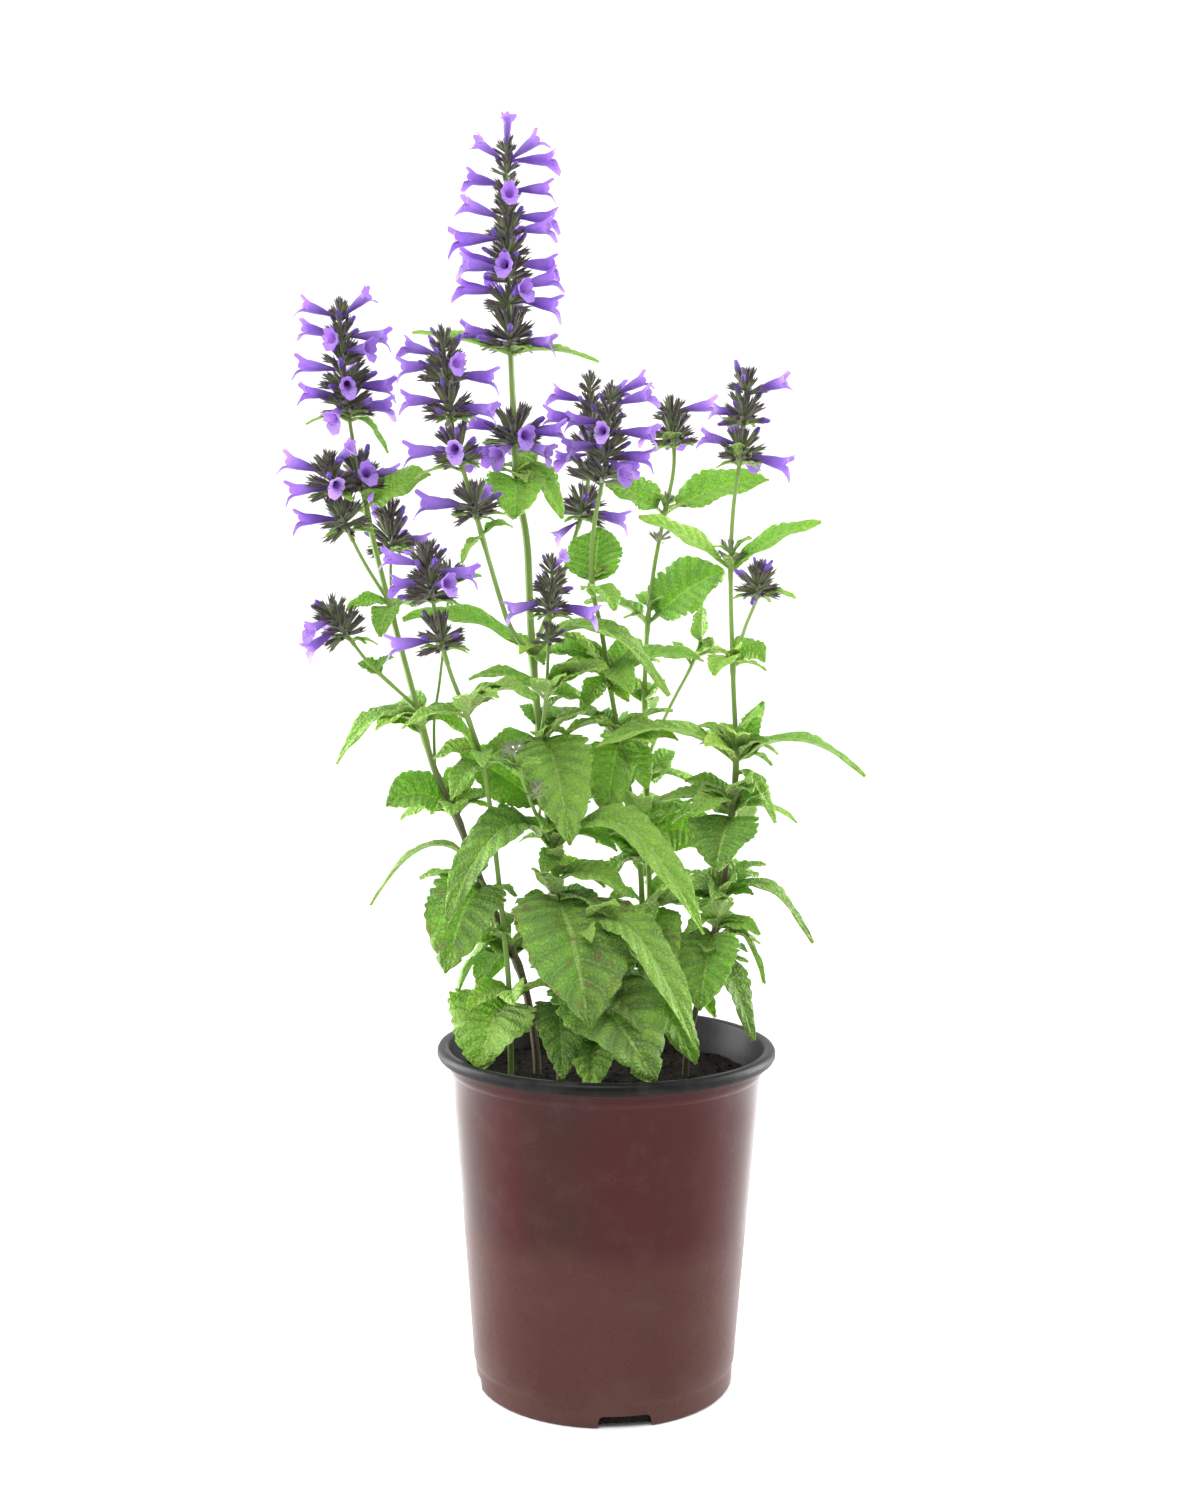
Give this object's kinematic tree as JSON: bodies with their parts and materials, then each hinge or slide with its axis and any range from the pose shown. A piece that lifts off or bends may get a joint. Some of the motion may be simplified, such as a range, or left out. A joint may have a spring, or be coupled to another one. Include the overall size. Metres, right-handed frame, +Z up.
{
  "type": "potted catmint plant",
  "caption": "Catmint plant in flower: leafy square stems with violet flower heads, growing in soil in a tapered round nursery pot.",
  "frame": {"origin": "middle of the pot's base, on the surface that it stands on", "axes": "+Z up along the pot's axis; -Y is the plant's best side, +X is to its right as seen from there"},
  "size_m": [0.2759, 0.1636, 0.6112],
  "materials": {
    "pot": "smooth moulded plastic, maroon brown, with a dark grey lip",
    "soil": "loose dark potting soil",
    "foliage": "matt green leaves with sunken veins, on downy green to purplish stems",
    "flower": "violet petals on dark, hairy, purple-brown calyces"
  },
  "bodies": {
    "root": {"pot": "pot", "soil": "soil", "stem_tall": "foliage", "stem_left": "foliage", "stem_front": "foliage", "stem_middle": "foliage", "stem_back": "foliage", "stem_right": "foliage", "head_tall": "flower", "head_tall_front": "flower", "head_tall_left": "flower", "head_tall_right": "flower", "head_left": "flower", "head_left_side": "flower", "head_left_back": "flower", "head_far_left": "flower", "head_left_thin": "flower", "head_front": "flower", "head_middle": "flower", "head_back": "flower", "head_right": "flower", "head_right_side": "flower"}
  },
  "joints": []
}
